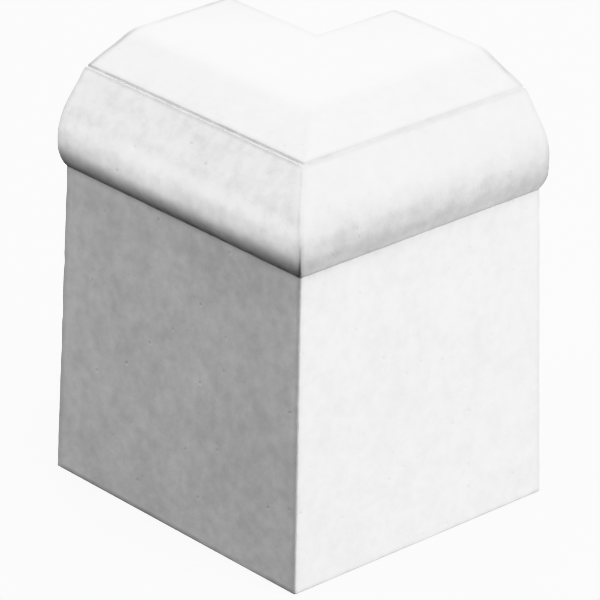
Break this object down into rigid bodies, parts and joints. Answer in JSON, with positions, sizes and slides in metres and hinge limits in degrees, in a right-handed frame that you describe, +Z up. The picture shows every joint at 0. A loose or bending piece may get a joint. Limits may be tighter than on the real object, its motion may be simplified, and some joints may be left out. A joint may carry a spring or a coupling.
{
  "type": "outside corner moulding",
  "caption": "Base moulding block that wraps the outside corner of a wall: tall plinth face, rounded nose, fine quirk and sloped top, mitred at the corner, with flat ends for straight runs.",
  "frame": {"origin": "foot of the wall's outside corner: where the two wall faces of the moulding meet, at floor level", "axes": "+Z up; the left leg runs along -X and shows its moulded face to -Y, the right leg runs along +Y and shows its moulded face to +X; the wall fills the quarter at -X, +Y"},
  "size_m": [0.119, 0.11, 0.15],
  "materials": {
    "cast_stone": "matte, fine even grain"
  },
  "bodies": {
    "root": {"corner_moulding": "cast_stone"}
  },
  "joints": []
}
